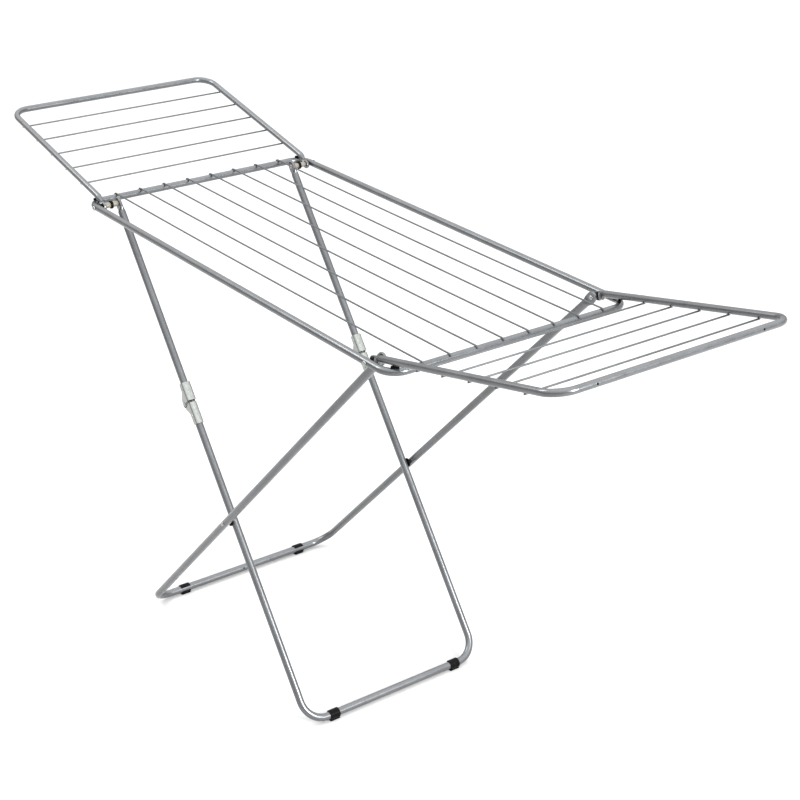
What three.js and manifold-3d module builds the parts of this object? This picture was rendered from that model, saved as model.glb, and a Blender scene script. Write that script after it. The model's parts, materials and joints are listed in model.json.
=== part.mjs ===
// Folding clothes drying rack: a tubular main frame with eight lengthwise wires, two folding
// wings with five crosswise wires each, and crossed folding legs, one of them with a knee hinge.
// Millimetres. +X along the rack, +Y across it, +Z up. The floor is Z = 0.
import * as THREE from 'three';
import Module from 'manifold-3d';
import { mergeVertices } from 'three/addons/utils/BufferGeometryUtils.js';

const wasm = await Module();
wasm.setup();

// ---------------------------------------------------------------- main frame
const FRAME_TUBE = 15;            // diameter of the main frame tube
const FRAME_WALL = 0.8;
const FRAME_WIDTH = 568;          // between the two rail centre lines
const FRAME_LENGTH = 1135;        // between the two end bar centre lines
const FRAME_CORNER = 36;          // bend radius at the centre line
const FRAME_HEIGHT = 987;         // centre line of the frame above the floor
const WIRE = 3.6;                 // wire diameter
const MAIN_WIRES = 8;
const MAIN_WIRE_PITCH = 61.5;
const WIRE_OVERHANG = 4;          // how far a main wire reaches past the end bar's centre line
const SEAM_FROM_END = 108;        // where the loop's tube joint lies, from the right end bar
const SEAM_GAP = 0.5;
const SEAM_SLEEVE = 50;           // length of the plug inside the joint

// ---------------------------------------------------------------- hinges on the rails
const HINGE_IN_LEFT = 38.5;       // hinge pin to the left end bar's centre line
const HINGE_IN_RIGHT = 68;        // hinge pin to the right end bar's centre line
const PIN = 6;                    // diameter of the hinge pins
const PIN_CLEAR = 0.3;            // clearance around a pin
const PIN_HEAD = 11;              // diameter of a rivet head
const HEAD_THICK = 2.4;
const GAP = 0.3;                  // gap kept between touching pieces
const SIDE_CLEAR = 1.0;           // clearance between tubes that pass each other
const FLAT = 5;                   // thickness of a flattened tube end
const PADDLE_END = 12;            // pin centre to the rounded tip of a flattened end

// ---------------------------------------------------------------- wings
const WING_TUBE = 14;
const WING_WALL = 0.8;
const WING_CORNER = 40;
const WING_WIRES = 5;
const WING_WIRE_PITCH = 73;
const WING_WIRE_OVERHANG = 3;     // how far a wing wire reaches past the arm's centre line
const LEFT_FIRST_WIRE = 103;      // hinge to the first wire, along the arm
const LEFT_REACH = 461;           // hinge to the outer bar, along the arm
const LEFT_ANGLE = 12.3;          // rise of the open wing, degrees
const RIGHT_FIRST_WIRE = 129;
const RIGHT_REACH = 501;
const RIGHT_ANGLE = 12.9;
const REST_PAD = 3.6;             // thickness of the pad between end bar and arm
const REST_PAD_LENGTH = 16;
const HANG_HOLE = 4.5;            // holes in the outer bars
const HANG_HOLE_Y = 190;

// ---------------------------------------------------------------- legs
const LEG_TUBE = 17;
const LEG_WALL = 0.8;
const LEG_CORNER = 50;
const KNEE_LEG_FOOT = 205.5;      // foot of the kneed leg, right of the frame's middle
const PLAIN_LEG_FOOT = 436.5;     // foot of the one-piece leg, left of the frame's middle
const FOOT_PAD = 3;               // thickness of a foot clip under the tube
const FOOT_CLIP_FROM_BEND = 3.2;   // foot clip to the end of the kneed leg's straight bar
const FOOT_CLIP_LENGTH = 24;
const FOOT_CLIP_WALL = 2.3;
const FOLD_SLOPE = 1.35;          // slope of the folded legs under the frame, degrees
const KNEE_ABOVE = 3;             // knee pin's centre above the leg tube's surface
const KNEE_PLATE = 1.2;
const KNEE_HEAD = 1.2;            // thickness of the knee pin's heads
const KNEE_CUP_UPPER = 44;        // length of a knee bracket along its tube
const KNEE_CUP_LOWER = 52;
const KNEE_PIN = 5.4;
const CROSS_GAP = 4.8;            // between the two leg frames where they cross
const CROSS_DISC = 21;            // diameter of the spacer disc at the crossing
const KNEE_GAP = 2;               // tube ends to the knee pin's level
const DRAIN_HOLE = 4;

const SIDES = 12;
const rad = (deg) => deg * Math.PI / 180;

// ---------------------------------------------------------------- derived
const rFrame = FRAME_TUBE / 2;
const rWing = WING_TUBE / 2;
const rLeg = LEG_TUBE / 2;
const rPin = PIN / 2;
const kneeOffset = rLeg + KNEE_ABOVE;
const rWire = WIRE / 2;
const railY = FRAME_WIDTH / 2;
const armY = railY - rFrame - SIDE_CLEAR - rWing;
const plainY = armY - rWing - SIDE_CLEAR - rLeg;
const kneedY = plainY - LEG_TUBE - CROSS_GAP;
const footClipY = kneedY - LEG_CORNER - FOOT_CLIP_FROM_BEND - FOOT_CLIP_LENGTH / 2;
const endX = FRAME_LENGTH / 2;
const H = FRAME_HEIGHT;
const footZ = FOOT_PAD + rLeg;
const P1 = new THREE.Vector2(-endX + HINGE_IN_LEFT, H);
const P2 = new THREE.Vector2(endX - HINGE_IN_RIGHT, H);
const footA = new THREE.Vector2(KNEE_LEG_FOOT, footZ);
const footB = new THREE.Vector2(-PLAIN_LEG_FOOT, footZ);

// an arm crosses the end bar where the corner bends, and clears it there by the rest pad
const cornerY = railY - FRAME_CORNER;
const crossIn = FRAME_CORNER - Math.sqrt(FRAME_CORNER ** 2 - (armY - cornerY) ** 2);
const crossTurn = Math.asin((armY - cornerY) / FRAME_CORNER);
const restHeight = rFrame + REST_PAD + 3 * GAP + rWing;
const riseFor = (hingeIn, angle) => restHeight - (hingeIn - crossIn) * Math.sin(rad(angle));
const leftRise = riseFor(HINGE_IN_LEFT, LEFT_ANGLE);
const rightRise = riseFor(HINGE_IN_RIGHT, RIGHT_ANGLE);

// crossing point of the two legs
function crossing() {
  const a = footA.clone().sub(P1);
  const b = footB.clone().sub(P2);
  const d = P2.clone().sub(P1);
  const t = (d.x * b.y - d.y * b.x) / (a.x * b.y - a.y * b.x);
  return P1.clone().addScaledVector(a, t);
}
const C = crossing();
const dirA = footA.clone().sub(P1).normalize();
const dirB = footB.clone().sub(P2).normalize();
// sideways direction towards the lower left of the kneed leg
const sideA = new THREE.Vector2(dirA.y, -dirA.x);

// length of the upper link, so that with the knee folded back both legs lie in one line
function upperLink() {
  const wA = C.distanceTo(P1);
  const wB = C.distanceTo(P2);
  const s = rad(FOLD_SLOPE);
  const back = new THREE.Vector2(Math.cos(s), Math.sin(s));
  const up = new THREE.Vector2(-Math.sin(s), Math.cos(s));
  const folded = P2.clone().addScaledVector(back, -wB);
  const miss = (u) => {
    const knee = folded.clone().addScaledVector(back, wA - u).addScaledVector(up, kneeOffset);
    return knee.distanceTo(P1) - Math.hypot(u, kneeOffset);
  };
  let low = wA * 0.4;
  let high = wA * 0.9;
  for (let i = 0; i < 60; i += 1) {
    const mid = (low + high) / 2;
    if (miss(mid) > 0) {
      low = mid;
    } else {
      high = mid;
    }
  }
  return (low + high) / 2;
}
const kneeAlong = upperLink();
const kneePin = P1.clone().addScaledVector(dirA, kneeAlong).addScaledVector(sideA, kneeOffset);

const steel = (name, color, roughness, metalness) => new THREE.MeshStandardMaterial({
  name, color, roughness, metalness,
});
const MAT = {
  paint: () => steel('silver_grey_paint', 0x9fa5a8, 0.4, 0.55),
  wire: () => steel('grey_wire_coating', 0x9a9ea0, 0.45, 0.4),
  zinc: () => steel('bright_zinc_steel', 0xc9ccc9, 0.3, 0.9),
  nylon: () => steel('ivory_nylon', 0xe9e4d6, 0.5, 0),
  black: () => steel('black_plastic', 0x17181a, 0.5, 0),
};

const root = new THREE.Group();
// turn a closed surface so that its faces point out
function outward(geometry) {
  const g = geometry.index ? geometry : mergeVertices(geometry.deleteAttribute('uv'), 1e-5);
  const p = g.attributes.position;
  const index = g.index;
  const [a, b, c] = [new THREE.Vector3(), new THREE.Vector3(), new THREE.Vector3()];
  let volume = 0;
  for (let i = 0; i < index.count; i += 3) {
    a.fromBufferAttribute(p, index.getX(i));
    b.fromBufferAttribute(p, index.getX(i + 1));
    c.fromBufferAttribute(p, index.getX(i + 2));
    volume += a.dot(b.cross(c));
  }
  if (volume < 0) {
    for (let i = 0; i < index.count; i += 3) {
      const keep = index.getX(i);
      index.setX(i, index.getX(i + 1));
      index.setX(i + 1, keep);
    }
  }
  return g;
}
function put(name, geometry, material) {
  const mesh = new THREE.Mesh(outward(geometry), material);
  mesh.name = name;
  root.add(mesh);
  return mesh;
}

// ---------------------------------------------------------------- solids
function toSolid(geometry) {
  const g = geometry.clone();
  g.deleteAttribute('normal');
  g.deleteAttribute('uv');
  const m = outward(mergeVertices(g, 1e-4));
  const kept = [];
  for (let i = 0; i < m.index.count; i += 3) {
    const [a, b, c] = [m.index.getX(i), m.index.getX(i + 1), m.index.getX(i + 2)];
    if (a !== b && b !== c && c !== a) {
      kept.push(a, b, c);
    }
  }
  return new wasm.Manifold(new wasm.Mesh({
    numProp: 3,
    vertProperties: new Float32Array(m.attributes.position.array),
    triVerts: new Uint32Array(kept),
  }));
}
function toGeometry(solid) {
  const mesh = solid.getMesh();
  const g = new THREE.BufferGeometry();
  g.setAttribute('position', new THREE.BufferAttribute(new Float32Array(mesh.vertProperties), 3));
  g.setIndex(new THREE.BufferAttribute(new Uint32Array(mesh.triVerts), 1));
  g.computeVertexNormals();
  return g;
}
function cut(geometry, tools) {
  let solid = toSolid(geometry);
  for (const tool of tools) {
    solid = solid.subtract(toSolid(tool));
  }
  return toGeometry(solid);
}
function join(geometries) {
  let solid = toSolid(geometries[0]);
  for (const g of geometries.slice(1)) {
    solid = solid.add(toSolid(g));
  }
  return toGeometry(solid);
}

// a round bar from a to b
function bar(a, b, radius, sides = 16) {
  const d = b.clone().sub(a);
  const g = new THREE.CylinderGeometry(radius, radius, d.length(), sides, 1);
  g.applyQuaternion(new THREE.Quaternion().setFromUnitVectors(
    new THREE.Vector3(0, 1, 0), d.clone().normalize(),
  ));
  g.translate(...a.clone().add(b).multiplyScalar(0.5).toArray());
  return g;
}
// a turned piece with its axis along Y: profile points are [radius, y]
function turned(profile, sides = 20) {
  return new THREE.LatheGeometry(profile.map(([r, y]) => new THREE.Vector2(r, y)), sides);
}
function ring(inner, outer, y0, y1, sides = 20) {
  return turned([[inner, y0], [outer, y0], [outer, y1], [inner, y1], [inner, y0]], sides);
}

// a path of straight runs and round bends, sampled only where a ring of the tube is needed:
// at both ends, at the given distances from the ends and through the bends
class BentPath extends THREE.Curve {
  constructor(corners, bends, firstNormal, marks = [], endMarks = marks, steps = 5) {
    super();
    this.points = [];
    this.tangents = [];
    this.firstNormal = firstNormal.clone();
    this.layOut(corners, bends, steps);
    this.addMarks(marks, endMarks);
  }
  layOut(corners, bends, steps) {
    const last = corners.length - 1;
    const runs = [];
    for (let i = 0; i < last; i += 1) {
      runs.push(corners[i + 1].clone().sub(corners[i]).normalize());
    }
    const push = (p, t) => {
      this.points.push(p.clone());
      this.tangents.push(t.clone());
    };
    push(corners[0], runs[0]);
    for (let i = 1; i < last; i += 1) {
      const a = runs[i - 1];
      const turn = a.angleTo(runs[i]);
      const trim = bends[i - 1] * Math.tan(turn / 2);
      const axis = a.clone().cross(runs[i]).normalize();
      const start = corners[i].clone().addScaledVector(a, -trim);
      const centre = start.clone().addScaledVector(axis.clone().cross(a), bends[i - 1]);
      const count = Math.max(2, Math.round(steps * turn / (Math.PI / 2)));
      for (let k = 0; k <= count; k += 1) {
        const angle = turn * k / count;
        const arm = start.clone().sub(centre).applyAxisAngle(axis, angle);
        push(centre.clone().add(arm), a.clone().applyAxisAngle(axis, angle));
      }
    }
    push(corners[last], runs[last - 1]);
  }
  lengths() {
    const out = [0];
    for (let i = 1; i < this.points.length; i += 1) {
      out.push(out[i - 1] + this.points[i].distanceTo(this.points[i - 1]));
    }
    return out;
  }
  addMarks(marks, endMarks) {
    const total = this.lengths().at(-1);
    for (const m of [...marks, ...endMarks.map((v) => total - v)]) {
      const at = this.lengths();
      const i = at.findIndex((v) => v > m);
      const straight = i > 0 && this.tangents[i].distanceTo(this.tangents[i - 1]) < 1e-6;
      if (straight && m - at[i - 1] > 1 && at[i] - m > 1) {
        const t = (m - at[i - 1]) / (at[i] - at[i - 1]);
        this.points.splice(i, 0, this.points[i - 1].clone().lerp(this.points[i], t));
        this.tangents.splice(i, 0, this.tangents[i].clone());
      }
    }
  }
  getPoint(t) {
    return this.points[Math.round(t * (this.points.length - 1))].clone();
  }
  getSpacedPoints() {
    return this.points.map((p) => p.clone());
  }
  // the section's frame is carried along the path without twist
  computeFrenetFrames() {
    const normals = [];
    const binormals = [];
    let normal = this.firstNormal;
    this.tangents.forEach((t, i) => {
      if (i > 0) {
        const q = new THREE.Quaternion().setFromUnitVectors(this.tangents[i - 1], t);
        normal = normal.clone().applyQuaternion(q);
      }
      normals.push(normal.clone());
      binormals.push(t.clone().cross(normal).normalize());
    });
    return { tangents: this.tangents, normals, binormals };
  }
}

// a thin-walled round tube along a path; both ends stay open
function tube(path, radius, wall) {
  const shape = new THREE.Shape();
  shape.absarc(0, 0, radius, 0, Math.PI * 2, false);
  const hole = new THREE.Path();
  hole.absarc(0, 0, radius - wall, 0, Math.PI * 2, true);
  shape.holes.push(hole);
  return new THREE.ExtrudeGeometry(shape, {
    steps: path.points.length - 1,
    curveSegments: SIDES / 2,
    extrudePath: path,
    bevelEnabled: false,
  });
}

// flattened tube ends: distances from the tip where rings are needed, and how far they reach
const PADDLE_MARKS = [3, 8, 20, 26, 34];
const PADDLE_FLAT = 20;
const PADDLE_ROUND = 34;
// press the ends of a tube flat across the section's first direction; ends lists which ones
function flattenEnds(geometry, path, radius, wall, ends) {
  const frames = path.computeFrenetFrames();
  const at = path.lengths();
  const total = at.at(-1);
  const pos = geometry.attributes.position;
  const p = new THREE.Vector3();
  const d = new THREE.Vector3();
  for (let i = 0; i < pos.count; i += 1) {
    p.fromBufferAttribute(pos, i);
    let best = -1;
    let bestMiss = 1e-2;
    path.points.forEach((c, k) => {
      d.copy(p).sub(c);
      const miss = Math.abs(d.dot(frames.tangents[k]));
      if (d.length() < radius * 1.05 && miss < bestMiss) {
        best = k;
        bestMiss = miss;
      }
    });
    const a = Math.min(
      ends.includes('start') ? at[best] : Infinity,
      ends.includes('end') ? total - at[best] : Infinity,
    );
    if (a >= PADDLE_ROUND) {
      continue;
    }
    d.copy(p).sub(path.points[best]);
    const y = d.dot(frames.normals[best]);
    const w = d.dot(frames.binormals[best]);
    const inner = Math.hypot(y, w) < radius - wall / 2;
    const ref = inner ? radius - wall : radius;
    const f = Math.min(1, (PADDLE_ROUND - a) / (PADDLE_ROUND - PADDLE_FLAT));
    const smooth = f * f * (3 - 2 * f);
    const taper = a < 0.01 ? 0.5 : a < 3.01 ? 0.84 : 1;
    const wide = (inner ? radius * 1.4 - wall : radius * 1.4) * taper;
    const flat = inner ? 0.5 : FLAT / 2;
    p.copy(path.points[best])
      .addScaledVector(frames.normals[best], y * (1 + smooth * (flat / ref - 1)))
      .addScaledVector(frames.binormals[best], w * (1 + smooth * (wide / ref - 1)));
    pos.setXYZ(i, p.x, p.y, p.z);
  }
  geometry.computeVertexNormals();
  return geometry;
}

const Y = new THREE.Vector3(0, 1, 0);
const xz = (v, y) => new THREE.Vector3(v.x, y, v.y);
// a drill along Y through both sides of the object, or through one side only
function drillY(v, radius, side = 0) {
  const from = side < 0 ? -railY - 40 : side > 0 ? 60 : -railY - 40;
  const to = side < 0 ? -60 : railY + 40;
  return bar(xz(v, from), xz(v, to), radius, 12);
}

// ---------------------------------------------------------------- main frame
function mainFrameTube() {
  const x = endX;
  const seam = x - SEAM_FROM_END;
  const v = (px, py) => new THREE.Vector3(px, py, H);
  const path = new BentPath([
    v(seam + SEAM_GAP / 2, railY), v(x, railY), v(x, -railY), v(-x, -railY), v(-x, railY),
    v(seam - SEAM_GAP / 2, railY),
  ], [FRAME_CORNER, FRAME_CORNER, FRAME_CORNER, FRAME_CORNER], new THREE.Vector3(0, 0, 1));
  const holes = [P1, P2].map((p) => drillY(p, rPin + PIN_CLEAR));
  return cut(tube(path, rFrame, FRAME_WALL), holes);
}
put('main_frame_tube', mainFrameTube(), MAT.paint());

// plug that holds the two ends of the loop together
function seamPlug() {
  const seam = endX - SEAM_FROM_END;
  const outer = rFrame - FRAME_WALL - GAP;
  const g = ring(outer - 1, outer, -SEAM_SLEEVE / 2, SEAM_SLEEVE / 2, SIDES);
  g.rotateZ(Math.PI / 2);
  g.translate(seam, railY, H);
  return g;
}
put('main_frame_joint_plug', seamPlug(), MAT.zinc());

const wireZ = H + rFrame + GAP + rWire;
for (let i = 0; i < MAIN_WIRES; i += 1) {
  const y = (i - (MAIN_WIRES - 1) / 2) * MAIN_WIRE_PITCH;
  const a = new THREE.Vector3(-endX - WIRE_OVERHANG, y, wireZ);
  const b = new THREE.Vector3(endX + WIRE_OVERHANG, y, wireZ);
  put(`main_wire_${i + 1}`, bar(a, b, rWire, 8), MAT.wire());
}

// ---------------------------------------------------------------- wings
// side is -1 for the left wing and +1 for the right wing; s runs along the arm, n is its normal
function wingFrame(side) {
  const left = side < 0;
  const angle = rad(left ? LEFT_ANGLE : RIGHT_ANGLE);
  const hinge = left ? P1 : P2;
  const along = new THREE.Vector3(side * Math.cos(angle), 0, Math.sin(angle));
  const normal = new THREE.Vector3(-side * Math.sin(angle), 0, Math.cos(angle));
  const at = (s, n, y) => new THREE.Vector3(hinge.x, y, hinge.y)
    .addScaledVector(along, s).addScaledVector(normal, n);
  return {
    at, along, normal,
    reach: left ? LEFT_REACH : RIGHT_REACH,
    first: left ? LEFT_FIRST_WIRE : RIGHT_FIRST_WIRE,
    rise: left ? leftRise : rightRise,
  };
}
const JOGGLE_START = 8;           // along the arm from the hinge
const JOGGLE_RUN = 14;
function wingTube(side) {
  const f = wingFrame(side);
  const arm = (y) => [
    f.at(-PADDLE_END, 0, y), f.at(JOGGLE_START, 0, y),
    f.at(JOGGLE_START + JOGGLE_RUN, f.rise, y), f.at(f.reach, f.rise, y),
  ];
  const corners = [...arm(-armY), ...arm(armY).reverse()];
  const bends = [16, 16, WING_CORNER, WING_CORNER, 16, 16];
  const path = new BentPath(corners, bends, Y, PADDLE_MARKS);
  const g = flattenEnds(tube(path, rWing, WING_WALL), path, rWing, WING_WALL, ['start', 'end']);
  const holes = [drillY(side < 0 ? P1 : P2, rPin + PIN_CLEAR)];
  for (const y of [-HANG_HOLE_Y, HANG_HOLE_Y]) {
    const inside = f.at(f.reach, f.rise, y);
    const outside = f.at(f.reach + 3 * rWing, f.rise, y);
    holes.push(bar(inside, outside, HANG_HOLE / 2, 10));
  }
  return cut(g, holes);
}

for (const side of [-1, 1]) {
  const name = side < 0 ? 'left' : 'right';
  put(`${name}_wing_tube`, wingTube(side), MAT.paint());
  const f = wingFrame(side);
  const n = f.rise - rWing - GAP - rWire;
  for (let i = 0; i < WING_WIRES; i += 1) {
    const s = f.first + i * WING_WIRE_PITCH;
    const reach = armY + WING_WIRE_OVERHANG;
    put(`${name}_wing_wire_${i + 1}`, bar(f.at(s, n, -reach), f.at(s, n, reach), rWire, 8),
      MAT.wire());
  }
}

// saddle pads on the frame's corners, under the arms: each wraps the top of the bent tube
function restPad(side, ySide) {
  const inner = rFrame + 3 * GAP;
  const outer = rFrame + GAP + REST_PAD;
  const half = rad(38);
  const s = new THREE.Shape();
  s.absarc(0, 0, outer, Math.PI / 2 - half, Math.PI / 2 + half, false);
  s.absarc(0, 0, inner, Math.PI / 2 + half, Math.PI / 2 - half, true);
  s.closePath();
  const g = new THREE.ExtrudeGeometry(s, {
    depth: REST_PAD_LENGTH, steps: 1, bevelEnabled: false, curveSegments: 8,
  });
  g.translate(0, 0, -REST_PAD_LENGTH / 2);
  g.rotateX(Math.PI / 2);
  g.rotateZ(side * ySide * crossTurn);
  g.translate(side * (endX - crossIn), ySide * armY, H);
  return g;
}
for (const side of [-1, 1]) {
  for (const ySide of [-1, 1]) {
    const name = `rest_pad_${side < 0 ? 'left' : 'right'}_${ySide < 0 ? 'front' : 'back'}`;
    put(name, restPad(side, ySide), MAT.black());
  }
}

// ---------------------------------------------------------------- hinge pins and their spacers
// a rivet with its axis along Y: the outer head is at the larger |y|
function rivet(v, inner, outer, radius, headRadius, ySide) {
  const g = turned([
    [0, inner - HEAD_THICK], [headRadius * 0.9, inner - HEAD_THICK], [headRadius * 0.9, inner],
    [radius, inner], [radius, outer], [headRadius, outer], [headRadius, outer + 0.9],
    [headRadius * 0.72, outer + HEAD_THICK * 0.9], [headRadius * 0.4, outer + HEAD_THICK],
    [headRadius * 0.36, outer + HEAD_THICK * 0.5], [0, outer + HEAD_THICK * 0.5],
  ], 14);
  g.scale(1, ySide, 1);
  g.translate(v.x, 0, v.y);
  return g;
}
function washer(v, y0, y1, outer, ySide, sides = 12) {
  const g = ring(rPin + PIN_CLEAR, outer, Math.min(y0, y1), Math.max(y0, y1), sides);
  g.scale(1, ySide, 1);
  g.translate(v.x, 0, v.y);
  return g;
}
const railInner = railY - rFrame;
for (const ySide of [-1, 1]) {
  const end = ySide < 0 ? 'front' : 'back';
  const outerHead = railY + rFrame + GAP;
  put(`hinge_pin_left_${end}`,
    rivet(P1, kneedY - FLAT / 2 - GAP, outerHead, rPin, PIN_HEAD / 2, ySide), MAT.zinc());
  put(`hinge_pin_right_${end}`,
    rivet(P2, plainY - FLAT / 2 - GAP, outerHead, rPin, PIN_HEAD / 2, ySide), MAT.zinc());
  // washers between the rail and the arm's flattened end
  const armOut = armY + FLAT / 2 + GAP;
  const armIn = armY - FLAT / 2 - GAP;
  put(`rail_washer_left_${end}`, washer(P1, armOut, railInner - 3 * GAP, 6.5, ySide), MAT.black());
  put(`rail_washer_right_${end}`, washer(P2, armOut, railInner - 3 * GAP, 6.5, ySide), MAT.black());
  // spacers between the arm and the leg: ivory, black, ivory on the left; black on the right
  const legOut = kneedY + FLAT / 2 + GAP;
  const span = armIn - legOut;
  const collar = 5;
  const bush = (span - collar - 2 * GAP) / 2;
  put(`hinge_bush_outer_${end}`, washer(P1, armIn - bush, armIn, 6, ySide), MAT.nylon());
  put(`hinge_collar_${end}`,
    washer(P1, legOut + bush + GAP, armIn - bush - GAP, 9, ySide), MAT.black());
  put(`hinge_bush_inner_${end}`, washer(P1, legOut, legOut + bush, 6, ySide), MAT.nylon());
  put(`hinge_spacer_right_${end}`,
    washer(P2, plainY + FLAT / 2 + GAP, armIn, 7.5, ySide), MAT.black());
}

// ---------------------------------------------------------------- legs
const along3 = (v) => new THREE.Vector3(v.x, 0, v.y);
const legPoint = (origin, dir, s, y) => xz(origin.clone().addScaledVector(dir, s), y);
const lengthA = footA.distanceTo(P1);
const lengthB = footB.distanceTo(P2);

function plainLeg() {
  const corners = [
    legPoint(P2, dirB, -PADDLE_END, -plainY), legPoint(P2, dirB, lengthB, -plainY),
    legPoint(P2, dirB, lengthB, plainY), legPoint(P2, dirB, -PADDLE_END, plainY),
  ];
  const path = new BentPath(corners, [LEG_CORNER, LEG_CORNER], Y, PADDLE_MARKS);
  const g = flattenEnds(tube(path, rLeg, LEG_WALL), path, rLeg, LEG_WALL, ['start', 'end']);
  const mid = xz(footB, 0);
  const out = new THREE.Vector3(1, 0, 0.35).normalize();
  const holes = [
    drillY(P2, rPin + PIN_CLEAR),
    bar(mid, mid.clone().addScaledVector(out, 3 * rLeg), DRAIN_HOLE / 2, 10),
  ];
  for (const ySide of [-1, 1]) {
    const a = xz(C, ySide * (plainY - 2 * rLeg));
    const b = xz(C, ySide * (plainY + 2 * rLeg));
    holes.push(bar(a, b, rPin + PIN_CLEAR, 12));
  }
  return cut(g, holes);
}
put('plain_leg_frame', plainLeg(), MAT.paint());

function kneedLegUpper(ySide) {
  const corners = [
    legPoint(P1, dirA, -PADDLE_END, ySide * kneedY),
    legPoint(P1, dirA, kneeAlong - KNEE_GAP, ySide * kneedY),
  ];
  const path = new BentPath(corners, [], Y, PADDLE_MARKS, []);
  const g = flattenEnds(tube(path, rLeg, LEG_WALL), path, rLeg, LEG_WALL, ['start']);
  return cut(g, [drillY(P1, rPin + PIN_CLEAR)]);
}
function kneedLegLower() {
  const corners = [
    legPoint(P1, dirA, kneeAlong + KNEE_GAP, -kneedY), legPoint(P1, dirA, lengthA, -kneedY),
    legPoint(P1, dirA, lengthA, kneedY), legPoint(P1, dirA, kneeAlong + KNEE_GAP, kneedY),
  ];
  const path = new BentPath(corners, [LEG_CORNER, LEG_CORNER], Y);
  return tube(path, rLeg, LEG_WALL);
}
put('kneed_leg_lower', kneedLegLower(), MAT.paint());

// knee brackets: a channel around the tube's end, with two lugs that carry the knee pin.
// Drawn with X along the leg, Y towards the pin's side, Z across the rack.
function kneeBracket(upper, ySide) {
  const inner = upper ? rLeg + 2 * GAP + KNEE_PLATE : rLeg + GAP;
  const outer = inner + KNEE_PLATE;
  const back = -(rLeg + GAP);
  const dir = upper ? -1 : 1;
  const lug = 8;
  const x0 = dir * (KNEE_GAP + 0.5);
  const x1 = dir * (upper ? KNEE_CUP_UPPER : KNEE_CUP_LOWER);
  const outline = [
    [x1, back - KNEE_PLATE], [x0, back - KNEE_PLATE], [x0, 0], [-dir * lug, kneeOffset - 2],
  ];
  for (let k = 0; k <= 6; k += 1) {
    const a = rad(-10 + k * 200 / 6);
    outline.push([-dir * lug * Math.cos(a), kneeOffset + lug * Math.sin(a)]);
  }
  outline.push([dir * 26, 5], [x1, 4]);
  const points = outline.map(([x, y]) => new THREE.Vector2(x, y));
  if (THREE.ShapeUtils.isClockWise(points)) {
    points.reverse();
  }
  const cheek = new THREE.Shape(points);
  const pinHole = new THREE.Path();
  pinHole.absarc(0, kneeOffset, KNEE_PIN / 2 + PIN_CLEAR, 0, Math.PI * 2, true);
  cheek.holes.push(pinHole);
  const parts = [];
  for (const z of [-outer, inner]) {
    const g = new THREE.ExtrudeGeometry(cheek, {
      depth: KNEE_PLATE, steps: 1, bevelEnabled: false, curveSegments: 10,
    });
    g.translate(0, 0, z);
    parts.push(g);
  }
  const web = new THREE.BoxGeometry(Math.abs(x1 - x0), KNEE_PLATE, 2 * outer);
  web.translate((x0 + x1) / 2, back - KNEE_PLATE / 2, 0);
  parts.push(web);
  // heads of the rivets that fasten the channel to its tube
  const head = bar(
    new THREE.Vector3(dir * 30, -1, outer - 0.5), new THREE.Vector3(dir * 30, -1, outer + 1.2),
    3.4, 12,
  );
  const head2 = head.clone().scale(1, 1, -1);
  parts.push(head, head2);
  const g = join(parts);
  const m = new THREE.Matrix4().makeBasis(
    along3(dirA), along3(sideA), new THREE.Vector3(0, 1, 0),
  );
  m.setPosition(legPoint(P1, dirA, kneeAlong, ySide * kneedY));
  g.applyMatrix4(m);
  return g;
}
function kneePinSolid(ySide) {
  const reach = rLeg + 2 * GAP + 2 * KNEE_PLATE + GAP;
  const top = reach + KNEE_HEAD;
  const g = turned([
    [0, -top], [4, -top], [4.8, -reach - KNEE_HEAD / 2], [4.8, -reach], [KNEE_PIN / 2, -reach],
    [KNEE_PIN / 2, reach], [4.8, reach], [4.8, reach + KNEE_HEAD / 2], [4, top], [0, top],
  ], 14);
  g.translate(kneePin.x, ySide * kneedY, kneePin.y);
  return g;
}
for (const ySide of [-1, 1]) {
  const end = ySide < 0 ? 'front' : 'back';
  put(`kneed_leg_upper_${end}`, kneedLegUpper(ySide), MAT.paint());
  put(`knee_bracket_upper_${end}`, kneeBracket(true, ySide), MAT.zinc());
  put(`knee_bracket_lower_${end}`, kneeBracket(false, ySide), MAT.zinc());
  put(`knee_pin_${end}`, kneePinSolid(ySide), MAT.zinc());
}

// crossing pivots: a rivet through the plain leg and a spacer disc carried by the kneed leg
for (const ySide of [-1, 1]) {
  const end = ySide < 0 ? 'front' : 'back';
  const inside = plainY - rLeg - 0.2;
  const head = plainY + rLeg + GAP;
  const stub = turned([
    [0, inside], [rPin, inside], [rPin, head], [5, head], [5, head + 0.8], [3.4, head + 1.8],
    [0, head + 2],
  ], 16);
  stub.scale(1, ySide, 1);
  stub.translate(C.x, 0, C.y);
  put(`crossing_rivet_${end}`, stub, MAT.zinc());
  const disc = turned([
    [0, kneedY + rLeg + GAP], [CROSS_DISC / 2, kneedY + rLeg + GAP],
    [CROSS_DISC / 2, plainY - rLeg - 3 * GAP], [0, plainY - rLeg - 3 * GAP],
  ], 20);
  disc.scale(1, ySide, 1);
  disc.translate(C.x, 0, C.y);
  put(`crossing_disc_${end}`, disc, MAT.black());
}

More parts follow.
